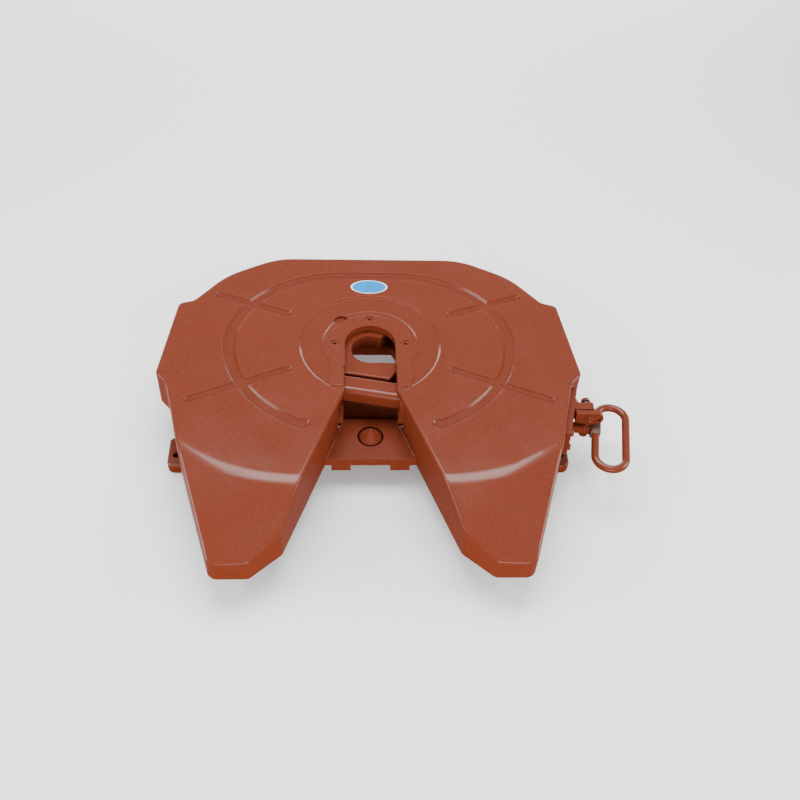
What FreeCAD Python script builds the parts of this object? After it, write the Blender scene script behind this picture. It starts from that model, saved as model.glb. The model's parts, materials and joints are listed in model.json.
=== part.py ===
import FreeCAD, Part
import math
import os

# Fifth wheel coupling for a 3.5 inch kingpin: a rocking top plate on two pedestals,
# a hook and a sliding bar that lock the kingpin, and a pull handle on the +X side.
# Millimetres. The origin is on the mounting plane, straight below the kingpin axis.
# +Y is the truck's forward direction, +X the handle side, +Z up.

V = FreeCAD.Vector

# ---- driving dimensions ----
TOP_Z = 185.0           # height of the top plate's bearing face
SLOT_R = 59.5           # half width of the kingpin slot
NECK_R = 44.6           # hook pocket, round the 88.9 mm kingpin neck
CEILING = 18.0          # thickness of the plate's top wall
WALL = 14.0             # thickness of the skirt and rib walls
SKIRT_Z = TOP_Z - 120   # lower edge of the horns' skirt
SIDE_Z = TOP_Z - 92     # lower edge of the side skirts, above the feet
FRONT_Z = TOP_Z - 74    # lower edge of the front skirt
CREASE_R = 402.0        # the ramp starts on this radius about (CREASE_X, 0)
CREASE_X = 150.0
RAMP_SLOPE = 0.36
RAMP_BLEND = 14.0       # half length of the soft blend at the crease
EDGE_R = 7.0            # rounded upper edge of the plate
THROAT_Y = -147.0       # the slot opens into the throat here

PIVOT_Z = TOP_Z - 85    # rocking axis, along X
PIN_R = 20.0            # bracket pins
PIN_PLAY = 0.05
EAR_INNER = (330, 350)  # plate ears, x from and to
EAR_OUTER = (420, 437)
EAR_Y = 100.0
PEDESTAL_X = 385.0
EYE_R = 52.0
EYE_W = 58.0
FOOT_X = (350, 466)
FOOT_Y = 241.0
FOOT_T = 24.0
FOOT_HOLE = (446, 207)
INNER_HOLE = (372, 207)
FOOT_HOLE_R = 8.5

RING_R = 96.5
RING_T = 10.0
RING_SCREW_R = 83.0
PLATEAU_R = 109.0
PLATEAU_X = 92.0
PLATEAU_END = -134.0    # the raised land stops here
RECESS_R = 166.5
RECESS_DEPTH = 4.0
RECESS_SLOPE = 5.0      # width of the sloped wall
GROOVE_OUT = (344, 254, 298)    # reach along x, forward and rearward
GROOVE_IN = (314, 226, 270)
GROOVE_FLAT = 60.0              # half length of the straight part in front
GROOVE_DEPTH = 5.0
GROOVE_SLOPE = 4.5
SPOKE_SLOPE = 4.0
GROOVE_END = (148, -250)
SPOKES = [((197, 100), (363, 165)), ((191, -86), (404, -179))]
SPOKE_R = 12.0
POCKET = (-69, 80)      # grease pocket at the edge of the wear ring
POCKET_R = 16.0
BADGE = (45.5, 24.5)    # half axes of the oval badge
BADGE_Y = 199.0
BADGE_T = 0.7

HOOK_PIVOT = (-105, 10)
HOOK_TOP = TOP_Z - 20
HOOK_BOTTOM = TOP_Z - 60
BAR_ANGLE = -11.3       # the lock bar slides along this direction
BAR_Y = -119.0          # where the bar's centre line crosses x = 0
BAR_W = 48.0
BAR_FROM = -83.0
BAR_TO = 126.0
BAR_ROUND = 14.0        # rounding of the rear upper edge
STUD_T = 106.0          # handle stud, along the bar
ROD_R = 8.0
SPRING_SEAT_T = 338.0
PULL_ANGLE = -9.2       # resting direction of the pull bar
PULL_W = 16.0
PULL_Z = (TOP_Z - 81, TOP_Z - 61)
PULL_END = 405.0
HANDLE_BOLT_T = 390.0

LOOP_C = (545.5, -230)  # handle loop centre
LOOP_TILT = -100.0      # direction of its long axis
LOOP_R = 34.7
LOOP_LEG = 57.5
LOOP_ROD = 9.1
LOOP_Z = TOP_Z - 71

WALL_POINT = (456.5, -140)      # foot of the guide plate on the plate's side wall
WALL_ANGLE = -103.5             # rearward direction along that wall
GUIDE_T = 15.0
LATCH_PIVOT = (495, TOP_Z - 39.5)
LATCH_Y = (-202, -191)
LATCH_SPRING_Y = (-166.5, -153.5)
LATCH_R = 18.5
LATCH_LIFT = 14.0
LATCH_X = (464, 509.5)  # square inner end, centre of the round outer end
CONE_Y = -198.0
CONE_R = 25.5
CONE_H = 24.0
CONE_HOLE_R = 30.0
WEB_TOP = TOP_Z - 105
WEB_T = 22.0
WEB_DROP = 7.0          # the web's front part lies this much lower


# ---- small helpers ----
def box(x0, x1, y0, y1, z0, z1):
    return Part.makeBox(x1 - x0, y1 - y0, z1 - z0, V(x0, y0, z0))


def rod(x, y, z, radius, length, axis=(0, 0, 1)):
    return Part.makeCylinder(radius, length, V(x, y, z), V(*axis))


def hexagon(x, y, z, flats, height, axis=(0, 0, 1)):
    radius = flats / math.sqrt(3)
    corners = [V(radius * math.cos(math.radians(a)), radius * math.sin(math.radians(a)), 0)
               for a in range(0, 420, 60)]
    nut = Part.Face(Part.makePolygon(corners)).extrude(V(0, 0, height))
    nut.Placement = FreeCAD.Placement(V(x, y, z), FreeCAD.Rotation(V(0, 0, 1), V(*axis)))
    return nut


def path(start, steps, z=0.0):
    """Closed wire: a step is one point for a line, or two points for an arc."""
    edges = []
    here = V(start[0], start[1], z)
    for step in steps:
        if isinstance(step[0], tuple):
            middle = V(step[0][0], step[0][1], z)
            there = V(step[1][0], step[1][1], z)
            edges.append(Part.Arc(here, middle, there).toShape())
        else:
            there = V(step[0], step[1], z)
            edges.append(Part.LineSegment(here, there).toShape())
        here = there
    return Part.Wire(edges)


def rounded(corners, z=0.0):
    """Closed wire round a polygon of (x, y, radius), with a tangent arc at each corner."""
    edges = []
    ends = []
    count = len(corners)
    for i in range(count):
        here = V(corners[i][0], corners[i][1], z)
        back = (V(corners[i - 1][0], corners[i - 1][1], z) - here).normalize()
        ahead = (V(corners[(i + 1) % count][0], corners[(i + 1) % count][1], z) - here).normalize()
        radius = corners[i][2]
        half = back.getAngle(ahead) / 2
        reach = radius / math.tan(half)
        first = here + back * reach
        last = here + ahead * reach
        if radius:
            top = here + (back + ahead).normalize() * (radius / math.sin(half) - radius)
            edges.append(Part.Arc(first, top, last).toShape())
        ends.append((first, last))
    for i in range(count):
        a = ends[i][1]
        b = ends[(i + 1) % count][0]
        if a.distanceToPoint(b) > 0.01:
            edges.append(Part.LineSegment(a, b).toShape())
    return Part.Wire(Part.__sortEdges__(edges))


def prism(wire, z0, z1):
    solid = Part.Face(wire).extrude(V(0, 0, z1 - z0))
    solid.translate(V(0, 0, z0))
    return solid


def mirror_x(shape):
    return shape.mirror(V(0, 0, 0), V(1, 0, 0))


def both_sides(shape):
    return shape.fuse(mirror_x(shape)).removeSplitter()


def turned(shape, point, angle):
    """Shape drawn about the origin with x along a direction, put at its place."""
    spin = FreeCAD.Rotation(V(0, 0, 1), angle)
    shape.Placement = FreeCAD.Placement(V(point[0], point[1], 0), spin).multiply(shape.Placement)
    return shape


def on_bar(shape):
    return turned(shape, (0, BAR_Y), BAR_ANGLE)


def on_wall(shape):
    return turned(shape, WALL_POINT, WALL_ANGLE)


def stud_point():
    a = math.radians(BAR_ANGLE)
    return STUD_T * math.cos(a), BAR_Y + STUD_T * math.sin(a)


def on_pull(shape):
    return turned(shape, stud_point(), PULL_ANGLE)


def stadium(a, b, radius, z):
    """Wire of an oblong with rounded ends between two centres."""
    along = V(b[0] - a[0], b[1] - a[1], 0).normalize()
    side = V(-along.y, along.x, 0) * radius
    pa = V(a[0], a[1], z)
    pb = V(b[0], b[1], z)
    edges = [Part.LineSegment(pa - side, pb - side).toShape(),
             Part.Arc(pb - side, pb + along * radius, pb + side).toShape(),
             Part.LineSegment(pb + side, pa + side).toShape(),
             Part.Arc(pa + side, pa - along * radius, pa - side).toShape()]
    return Part.Wire(edges)


def sloped(wire_at, depth, slope, over=2.0):
    """Solid under the top face whose wall widens upward; wire_at(grow, z) gives a section."""
    low = wire_at(-slope, TOP_Z - depth)
    high = wire_at(slope * over / depth, TOP_Z + over)
    return Part.makeLoft([low, high], True, True)


def save(name, shape):
    if not shape.isValid():
        print("not valid:", name)
    shape.exportStep("parts/" + name + ".step")
    print(name, len(shape.Solids), round(shape.Volume / 1000), "cm3")


# ---- top plate ----
def half_outline():
    """Right half of the plate, clockwise from the middle of the front edge."""
    return rounded([(0, 308, 0), (232, 308, 170), (356, 240, 200), (425, 149, 25), (461, 137, 16),
                    (488, -97, 25), (459, -131, 40), (420, -293, 120), (335, -568, 24),
                    (254, -568, 20), (188, -509, 16), (SLOT_R, THROAT_Y, 40),
                    (SLOT_R, SLOT_R, SLOT_R), (0, SLOT_R, 0)])


def under_ramp(drop):
    """Everything below the flat top and its conical ramps, lowered by drop."""
    z = TOP_Z - drop
    a = math.atan(RAMP_SLOPE)
    bend = RAMP_BLEND / math.tan(a / 2)
    r0 = CREASE_R - RAMP_BLEND
    middle = V(r0 + bend * math.sin(a / 2), 0, z - bend + bend * math.cos(a / 2))
    end = V(CREASE_R + RAMP_BLEND * math.cos(a), 0, z - RAMP_BLEND * math.sin(a))
    far = V(660, 0, z - (660 - CREASE_R) * RAMP_SLOPE)
    base = SKIRT_Z - 30
    edges = [Part.LineSegment(V(0, 0, base), V(0, 0, z)).toShape(),
             Part.LineSegment(V(0, 0, z), V(r0, 0, z)).toShape(),
             Part.Arc(V(r0, 0, z), middle, end).toShape(),
             Part.LineSegment(end, far).toShape(),
             Part.LineSegment(far, V(660, 0, base)).toShape(),
             Part.LineSegment(V(660, 0, base), V(0, 0, base)).toShape()]
    solid = Part.Face(Part.Wire(edges)).revolve(V(0, 0, 0), V(0, 0, 1), 360)
    solid.translate(V(CREASE_X, 0, 0))
    return solid


def upper_edges(solid):
    """Edges round the top of the half plate, without the middle plane."""
    found = []
    for edge in solid.Edges:
        mid = edge.valueAt((edge.FirstParameter + edge.LastParameter) / 2)
        flat = max(v.Z for v in edge.Vertexes) - min(v.Z for v in edge.Vertexes)
        r = math.hypot(mid.x - CREASE_X, mid.y)
        surface = TOP_Z - max(0.0, r - CREASE_R) * RAMP_SLOPE
        inside = mid.x < 1 or (abs(r - CREASE_R) < RAMP_BLEND + 1 and flat < 0.5)
        if abs(mid.z - surface) < 2.5 and not inside:
            found.append(edge)
    return found


def plate_block():
    block = prism(half_outline(), SKIRT_Z, TOP_Z).common(under_ramp(0))
    return block.makeFillet(EDGE_R, upper_edges(block))


def plate_hollow():
    inner = Part.Face(half_outline()).makeOffset2D(-WALL)
    hollow = inner.extrude(V(0, 0, TOP_Z - SKIRT_Z + 1))
    hollow.translate(V(0, 0, SKIRT_Z - 1))
    hollow = hollow.common(under_ramp(CEILING))
    z0 = SKIRT_Z - 2
    z1 = TOP_Z
    ribs = [box(0, 480, 80, 80 + WALL + 2, z0, z1),
            box(60, 480, -300, -300 + WALL, z0, z1),
            box(EAR_INNER[0], EAR_INNER[1], -EAR_Y, EAR_Y, z0, z1),
            box(EAR_OUTER[0], EAR_OUTER[1], -EAR_Y, EAR_Y, z0, z1),
            box(EAR_OUTER[0], 500, -EAR_Y - 25, EAR_Y + 55, SIDE_Z, z1),
            box(190, 202, 90, 300, z0, z1),
            box(EAR_INNER[0], EAR_INNER[0] + 12, 90, 300, z0, z1),
            box(240, 252, -400, -222, z0, z1)]
    for rib in ribs:
        hollow = hollow.cut(rib)
    return hollow


def keyhole(grow, z):
    """Raised land round the slot: an arc in front and straight sides to the rear."""
    r = PLATEAU_R - grow
    x = PLATEAU_X - grow
    y = -math.sqrt(r * r - x * x)
    end = PLATEAU_END + grow
    return path((x, y), [((0, r), (-x, y)), (-x, end), (x, end), (x, y)], z)


def ring_recess():
    outer = Part.makeCone(RECESS_R - RECESS_SLOPE, RECESS_R + RECESS_SLOPE / 2,
                          RECESS_DEPTH * 1.5, V(0, 0, TOP_Z - RECESS_DEPTH))
    land = sloped(keyhole, RECESS_DEPTH, RECESS_SLOPE)
    return outer.cut(land)


def oval(reach, grow, z):
    """Closed wire of quarter ellipses, with a straight part in front."""
    a = reach[0] + grow
    b = reach[1] + grow
    c = reach[2] + grow
    flat = GROOVE_FLAT
    right = Part.Ellipse(V(a, 0, z), V(flat, b, z), V(flat, 0, z))
    left = Part.Ellipse(V(a - 2 * flat, 0, z), V(-flat, b, z), V(-flat, 0, z))
    rear = Part.Ellipse(V(a, 0, z), V(0, c, z), V(0, 0, z))
    return Part.Wire([Part.ArcOfEllipse(right, 0, math.pi / 2).toShape(),
                      Part.LineSegment(V(flat, b, z), V(-flat, b, z)).toShape(),
                      Part.ArcOfEllipse(left, math.pi / 2, math.pi).toShape(),
                      Part.ArcOfEllipse(rear, math.pi, 2 * math.pi).toShape()])


def grease_groove():
    outer = sloped(lambda g, z: oval(GROOVE_OUT, g, z), GROOVE_DEPTH, GROOVE_SLOPE)
    inner = sloped(lambda g, z: oval(GROOVE_IN, -g, z), GROOVE_DEPTH, GROOVE_SLOPE)
    groove = outer.cut(inner)
    x, y = GROOVE_END
    groove = groove.cut(box(-x, x, -340, -200, TOP_Z - 20, TOP_Z + 20))
    half = (GROOVE_OUT[0] - GROOVE_IN[0]) / 2
    for side in (-1, 1):
        end = Part.makeCone(half - GROOVE_SLOPE, half + GROOVE_SLOPE * 0.4, GROOVE_DEPTH + 2,
                            V(side * x, y, TOP_Z - GROOVE_DEPTH))
        groove = groove.fuse(end)
    return groove


def spoke_groove(a, b):
    return sloped(lambda g, z: stadium(a, b, SPOKE_R + g, z), GROOVE_DEPTH, SPOKE_SLOPE)


def slide_window():
    """Hole in the right side wall and its ribs for the pull bar, with room for its swing."""
    return on_pull(box(250, 420, -22, 48, PULL_Z[0] - 6, PULL_Z[1] + 4))


def lock_guides():
    rails = []
    for side in (-1, 1):
        y = side * (BAR_W / 2 + 0.6)
        y0 = min(y, y + side * 12)
        rails.append(on_bar(box(92, 150, y0, y0 + 12, HOOK_BOTTOM, TOP_Z - CEILING + 2)))
    return rails


def support_bosses(z0, z1, radius):
    return [rod(x, y, z0, radius, z1 - z0)
            for x, y in ((-150, 62), (75, 62), (-150, -150), (75, -173))]


def spring_seat_block():
    return on_bar(box(SPRING_SEAT_T, SPRING_SEAT_T + 14, -30, 30, TOP_Z - 57, TOP_Z - CEILING + 2))


def rear_web():
    """Cross wall under the throat, bent down a little in front, with the cone's hole."""
    rear = -265
    bend = -146
    front = -72
    wide = 110
    narrow = 62
    apron_w = 82
    floor = prism(path((-narrow, bend), [(narrow, bend), (wide, rear), (-wide, rear),
                                         (-narrow, bend)]), WEB_TOP - WEB_T, WEB_TOP)
    steps = [V(0, bend - 1, WEB_TOP), V(0, bend + 10, WEB_TOP - WEB_DROP),
             V(0, front, WEB_TOP - WEB_DROP), V(0, front, WEB_TOP - WEB_T),
             V(0, bend - 1, WEB_TOP - WEB_T), V(0, bend - 1, WEB_TOP)]
    apron = Part.Face(Part.makePolygon(steps)).extrude(V(2 * apron_w, 0, 0))
    apron.translate(V(-apron_w, 0, 0))
    web = floor.fuse(apron)
    for side in (-1, 1):
        pad = box(-22, 22, rear, rear + 60, WEB_TOP - WEB_T - 18, WEB_TOP - WEB_T)
        pad.translate(V(side * 67, 0, 0))
        web = web.fuse(pad)
    return web.cut(rod(0, CONE_Y, WEB_TOP - 60, CONE_HOLE_R, 100))


def top_plate():
    half = plate_block().cut(plate_hollow())
    # The side and front skirts are shallower than the horns.
    half = half.cut(box(150, 500, 110, 320, SKIRT_Z - 1, FRONT_Z))
    half = half.cut(box(-1, 150, 97, 320, SKIRT_Z - 1, FRONT_Z))
    half = half.cut(box(EAR_OUTER[1] + 0.5, 500, -305, 111, SKIRT_Z - 1, SIDE_Z))
    half = half.cut(box(EAR_INNER[0] - 20, 500, -290, -EAR_Y - 0.5, SKIRT_Z - 1, SIDE_Z))
    half = half.cut(box(EAR_INNER[1], 500, 96, 111, SKIRT_Z - 1, FRONT_Z))
    half = half.cut(box(EAR_INNER[1], EAR_OUTER[0], -EAR_Y, 99, SKIRT_Z - 1, TOP_Z - CEILING))
    half = half.cut(box(-1, 165, -185, 79.5, SKIRT_Z - 1, TOP_Z - CEILING))
    for a, b in SPOKES:
        half = half.cut(spoke_groove(a, b))
    half = half.cut(rod(EAR_INNER[0] - 5, 0, PIVOT_Z, PIN_R, 150, (1, 0, 0)))
    plate = both_sides(half)
    plate = plate.cut(grease_groove())
    plate = plate.cut(ring_recess())
    plate = plate.cut(rod(0, 0, TOP_Z - RING_T, RING_R, RING_T + 1))
    plate = plate.fuse([rear_web(), spring_seat_block()] + lock_guides()
                       + support_bosses(TOP_Z - 60.5, TOP_Z - CEILING + 2, 11))
    plate = plate.cut(slide_window())
    plate = plate.cut(rod(POCKET[0], POCKET[1], TOP_Z - RECESS_DEPTH - 5, POCKET_R, 20))
    plate = plate.cut(badge_oval(BADGE_T + 0.1, 0.4))
    plate = plate.cut(rod(HOOK_PIVOT[0], HOOK_PIVOT[1], TOP_Z - 40, 14, 30))
    for boss in support_bosses(TOP_Z - 61, TOP_Z - 38, 5):
        plate = plate.cut(boss)
    plate = plate.cut(on_bar(rod(SPRING_SEAT_T - 5, 0, TOP_Z - 40, ROD_R, 40, (1, 0, 0))))
    for x, y in ring_screw_places():
        plate = plate.cut(rod(x, y, TOP_Z - 30, 5, 30))
    for s, z in guide_bolt_places():
        plate = plate.cut(on_wall(rod(s, -20, z, 4, 40, (0, 1, 0))))
    return plate.removeSplitter()


def slot_gap():
    return box(-SLOT_R, SLOT_R, -200, 0, TOP_Z - 40, TOP_Z + 1).fuse(
        rod(0, 0, TOP_Z - 40, SLOT_R, 41))


def screw_seat(x, y):
    """Countersunk hole in the wear ring."""
    seat = Part.makeCone(5, 10.5, 5.5, V(x, y, TOP_Z - 7.5))
    return seat.fuse([rod(x, y, TOP_Z - 12, 5, 6), rod(x, y, TOP_Z - 2, 10.5, 3)])


def ring_screw_places():
    return [(RING_SCREW_R * math.cos(math.radians(a)), RING_SCREW_R * math.sin(math.radians(a)))
            for a in (0, 90, 180)]


def wear_ring():
    ring = rod(0, 0, TOP_Z - RING_T, RING_R - 0.4, RING_T).cut(slot_gap())
    for x, y in ring_screw_places():
        ring = ring.cut(screw_seat(x, y))
    return ring


def ring_screws():
    screws = []
    for x, y in ring_screw_places():
        head = Part.makeCone(5, 10.3, 5.5, V(x, y, TOP_Z - 7.5))
        screw = head.fuse(rod(x, y, TOP_Z - 19.5, 5, 13))
        screws.append(screw.cut(hexagon(x, y, TOP_Z - 6, 8, 5)))
    return Part.makeCompound(screws)


def badge_oval(depth, grow):
    curve = Part.Ellipse(V(BADGE[0] + grow, 0, 0), V(0, BADGE[1] + grow, 0), V(0, 0, 0))
    plate = Part.Face(Part.Wire([curve.toShape()])).extrude(V(0, 0, depth))
    plate.translate(V(0, BADGE_Y, TOP_Z - depth))
    return plate


def badge():
    """Blank oval in a shallow seat, just below the bearing face."""
    plate = badge_oval(BADGE_T, 0)
    plate.translate(V(0, 0, -0.1))
    return plate


# ---- pedestals, bushes and pins ----
def right_pedestal():
    x0, x1 = FOOT_X
    foot = prism(path((x0, -FOOT_Y), [(x1 - 19, -FOOT_Y),
                                      ((x1 - 5.5, -FOOT_Y + 5.5), (x1, -FOOT_Y + 19)),
                                      (x1, -160), (x1 - 24, -140), (x1 - 24, 140), (x1, 160),
                                      (x1, FOOT_Y - 19),
                                      ((x1 - 5.5, FOOT_Y - 5.5), (x1 - 19, FOOT_Y)),
                                      (x0, FOOT_Y), (x0, -FOOT_Y)]), 0, FOOT_T)
    foot = foot.makeFillet(5, [e for e in foot.Edges
                               if abs(e.CenterOfMass.z - FOOT_T) < 0.1 and e.Length > 20])
    half_w = EYE_W / 2
    web_w = 17
    a = V(PEDESTAL_X - web_w, -172, FOOT_T - 6)
    b = V(PEDESTAL_X - web_w, -46, PIVOT_Z + 24)
    c = V(PEDESTAL_X - web_w, 46, PIVOT_Z + 24)
    d = V(PEDESTAL_X - web_w, 172, FOOT_T - 6)
    web = Part.Face(Part.makePolygon([a, b, c, d, a])).extrude(V(2 * web_w, 0, 0))
    web = web.cut(box(PEDESTAL_X - 40, PEDESTAL_X + 40, -34, 34, FOOT_T + 4, PIVOT_Z - EYE_R + 2))
    eye = rod(PEDESTAL_X - half_w, 0, PIVOT_Z, EYE_R, EYE_W, (1, 0, 0))
    gussets = []
    for side in (-1, 1):
        p = [(FOOT_X[0] + 4, FOOT_T - 2), (416, FOOT_T - 2), (PEDESTAL_X + 15, 62),
             (PEDESTAL_X - 15, 62), (FOOT_X[0] + 4, FOOT_T - 2)]
        wedge = Part.Face(Part.makePolygon([V(x, side * 84 - 7, z) for x, z in p]))
        gussets.append(wedge.extrude(V(0, 14, 0)))
    body = foot.fuse([web, eye] + gussets).removeSplitter()
    body = body.cut(rod(PEDESTAL_X - 50, 0, PIVOT_Z, 38, 100, (1, 0, 0)))
    for x, y in (FOOT_HOLE, INNER_HOLE):
        for side in (-1, 1):
            body = body.cut(rod(x, side * y, -1, FOOT_HOLE_R, FOOT_T + 2))
    return body


def bush(inner, outer, width):
    ring = rod(PEDESTAL_X - width / 2, 0, PIVOT_Z, outer, width, (1, 0, 0))
    return ring.cut(rod(PEDESTAL_X - width, 0, PIVOT_Z, inner, 2 * width, (1, 0, 0)))


def bracket_pin():
    pin = rod(318, 0, PIVOT_Z, PIN_R, 123, (1, 0, 0))
    pin = pin.cut(box(322, 330, -30, 30, PIVOT_Z + 12, PIVOT_Z + 40))
    return pin.makeChamfer(2, [e for e in pin.Edges if abs(e.CenterOfMass.x - 441) < 0.1])


def pin_keeper():
    keeper = box(322, 330, -28, 28, PIVOT_Z + 12, PIVOT_Z + 44)
    for y in (-19, 19):
        keeper = keeper.cut(rod(320, y, PIVOT_Z + 32, 4, 12, (1, 0, 0)))
    return keeper


def hex_bolt(x, y, z, radius, length, axis):
    """Shank from the point along axis, with its head behind the point."""
    back = V(*axis) * (-1.3 * radius)
    head = hexagon(x + back.x, y + back.y, z + back.z, 3.4 * radius, 1.3 * radius, axis)
    return head.fuse(rod(x, y, z, radius, length, axis))


def keeper_bolts():
    one_side = [hex_bolt(322, y, PIVOT_Z + 32, 4, 8, (1, 0, 0)) for y in (-19, 19)]
    return Part.makeCompound(one_side + [mirror_x(b) for b in one_side])


# ---- lock ----
def lock_hook():
    c = math.cos(math.radians(55))
    s = math.sin(math.radians(55))
    px, py = HOOK_PIVOT
    outer = 66.0
    wire = path((NECK_R * c, NECK_R * s), [
        (outer * c, outer * s),
        ((0, outer), (-48, math.sqrt(outer ** 2 - 48 ** 2))),
        (px + 12, py + 36),
        ((px - 38, py), (px - 10, py - 36.7)),
        (-76, -74), (44, -96), (64, -66), (64, -46), (0, -NECK_R),
        ((-NECK_R, 0), (NECK_R * c, NECK_R * s))])
    hook = prism(wire, HOOK_BOTTOM, HOOK_TOP)
    hook = hook.makeFillet(3, [e for e in hook.Edges if abs(e.CenterOfMass.z - HOOK_TOP) < 0.01
                               and min(math.hypot(v.X, v.Y) for v in e.Vertexes) > NECK_R + 5])
    return hook.cut(rod(px, py, HOOK_BOTTOM - 1, 18, 60))


def hook_bush():
    x, y = HOOK_PIVOT
    return rod(x, y, HOOK_BOTTOM, 18, 40).cut(rod(x, y, HOOK_BOTTOM - 1, 14 + PIN_PLAY, 42))


def hook_pin():
    x, y = HOOK_PIVOT
    return rod(x, y, TOP_Z - 96, 14, 86)


def hook_pin_nut():
    x, y = HOOK_PIVOT
    return hexagon(x, y, TOP_Z - 92, 42, 16).cut(rod(x, y, TOP_Z - 100, 14, 40))


def support_plate():
    plate = box(-166, 88, -184.5, 79, TOP_Z - 74.5, TOP_Z - 60.5)
    gap = SLOT_R + 3
    plate = plate.cut(box(-gap, gap, -200, 0, TOP_Z - 90, TOP_Z))
    plate = plate.cut(rod(0, 0, TOP_Z - 90, gap, 90))
    for boss in support_bosses(TOP_Z - 90, TOP_Z, 5):
        plate = plate.cut(boss)
    return plate.cut(rod(HOOK_PIVOT[0], HOOK_PIVOT[1], TOP_Z - 90, 14, 60))


def support_bolts():
    return Part.makeCompound([hex_bolt(b.CenterOfMass.x, b.CenterOfMass.y, TOP_Z - 74.5, 5, 34,
                                       (0, 0, 1)) for b in support_bosses(0, 1, 1)])


def lock_bar():
    bar = box(BAR_FROM, BAR_TO, -BAR_W / 2, BAR_W / 2, HOOK_BOTTOM, HOOK_TOP)
    long_edges = [e for e in bar.Edges if e.Length > 100]
    rear_top = [e for e in long_edges if e.CenterOfMass.y < 0 and e.CenterOfMass.z > HOOK_TOP - 1]
    bar = bar.makeFillet(BAR_ROUND, rear_top)
    others = [e for e in bar.Edges if e.Length > 100 and (abs(e.CenterOfMass.y - BAR_W / 2) < 0.1
                                                          or e.CenterOfMass.z < HOOK_BOTTOM + 1)]
    bar = bar.makeFillet(7, others)
    ends = [e for e in bar.Edges if abs(e.CenterOfMass.x - BAR_TO) < 0.1]
    bar = bar.makeChamfer(2.5, ends)
    low = -BAR_W / 2 - 1
    corner = path((BAR_FROM - 1, low), [(BAR_FROM + 28, low), (BAR_FROM - 1, -4), (BAR_FROM - 1, low)])
    bar = bar.cut(prism(corner, 0, TOP_Z))
    bar = bar.cut(rod(-56, 0, TOP_Z - 40, ROD_R + 0.5, 200, (1, 0, 0)))
    bar = bar.cut(rod(STUD_T, 0, HOOK_BOTTOM - 1, 7, 9))
    return on_bar(bar)


def guide_rod():
    return on_bar(rod(BAR_TO - 20, 0, TOP_Z - 40, ROD_R, SPRING_SEAT_T + 24 - BAR_TO + 20, (1, 0, 0)))


def guide_rod_nut():
    nut = hexagon(SPRING_SEAT_T + 14, 0, TOP_Z - 40, 24, 8, (1, 0, 0))
    return on_bar(nut.cut(rod(SPRING_SEAT_T, 0, TOP_Z - 40, ROD_R, 40, (1, 0, 0))))


def lock_spring():
    length = SPRING_SEAT_T - BAR_TO - 2
    tube = rod(BAR_TO + 1, 0, TOP_Z - 40, 15, length, (1, 0, 0))
    return on_bar(tube.cut(rod(BAR_TO, 0, TOP_Z - 40, 10, length + 10, (1, 0, 0))))


# ---- handle ----
def bar_stud():
    x, y = stud_point()
    return rod(x, y, PULL_Z[0] - 8, 7 - PIN_PLAY, PULL_Z[1] - PULL_Z[0] + 17)


def stud_washer():
    x, y = stud_point()
    return rod(x, y, PULL_Z[0] - 4, 14, 3.5).cut(rod(x, y, PULL_Z[0] - 10, 7 - PIN_PLAY, 20))


def pull_bar():
    bar = box(0, PULL_END, -PULL_W / 2, PULL_W / 2, PULL_Z[0], PULL_Z[1])
    bar = bar.fuse(rod(0, 0, PULL_Z[0], 14, PULL_Z[1] - PULL_Z[0]))
    bar = bar.cut(rod(0, 0, PULL_Z[0] - 1, 7, 60))
    bar = bar.cut(rod(HANDLE_BOLT_T, 0, PULL_Z[0] - 1, 6, 60))
    return on_pull(bar).cut(sleeve_block())


def on_loop(shape):
    return turned(shape, LOOP_C, LOOP_TILT)


def sleeve_block():
    block = box(-40, 0, -LOOP_R - 13, -LOOP_R + 11, LOOP_Z - 11, LOOP_Z + 12)
    return on_loop(block)


def handle_sleeve():
    inner = on_loop(rod(-60, -LOOP_R, LOOP_Z, LOOP_ROD, 90, (1, 0, 0)))
    return sleeve_block().cut(inner)


def loop_handle():
    a = LOOP_LEG
    r = LOOP_R
    spine = path((-a, -r), [(a, -r), ((a + r, 0), (a, r)), (-a, r), ((-a - r, 0), (-a, -r))], LOOP_Z)
    circle = Part.Wire([Part.Circle(V(-a, -r, LOOP_Z), V(1, 0, 0), LOOP_ROD).toShape()])
    return on_loop(spine.makePipe(Part.Face(circle)))


def handle_bolt():
    return on_pull(hex_bolt(HANDLE_BOLT_T, 0, PULL_Z[0], 6, 21, (0, 0, 1)))


# ---- guide plate and latch on the right side ----
def guide_bolt_places():
    return [(12, TOP_Z - 33), (108, TOP_Z - 33), (108, TOP_Z - 80)]


def guide_plate():
    plate = box(-20, 122, 0, GUIDE_T, SIDE_Z - 3, TOP_Z - 20)
    plate = plate.makeFillet(6, [e for e in plate.Edges if abs(e.CenterOfMass.z - TOP_Z + 20) > 2
                                 and e.Length < GUIDE_T + 1])
    for s, z in guide_bolt_places():
        plate = plate.cut(rod(s, -20, z, 4, 60, (0, 1, 0)))
    return on_wall(plate).cut(slide_window()).cut(prism(half_outline(), 0, TOP_Z))


def guide_bolts():
    bolts = [on_wall(hex_bolt(s, GUIDE_T, z, 4, 22, (0, -1, 0))) for s, z in guide_bolt_places()]
    return Part.makeCompound(bolts)


def latch_bracket():
    base = on_wall(box(20, 44, GUIDE_T, GUIDE_T + 8, TOP_Z - 54, TOP_Z - 22))
    block = box(462, 509, -187, -167, TOP_Z - 50, TOP_Z - 21)
    block = block.makeFillet(8, [e for e in block.Edges if abs(e.CenterOfMass.x - 509) < 0.1
                                 and e.Length < 21 and abs(e.Vertexes[0].Y - e.Vertexes[1].Y) > 1])
    block = block.fuse(base).removeSplitter()
    block = block.cut(guide_plate())
    return block.cut(rod(LATCH_PIVOT[0], -300, LATCH_PIVOT[1], 6, 200, (0, 1, 0)))


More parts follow.
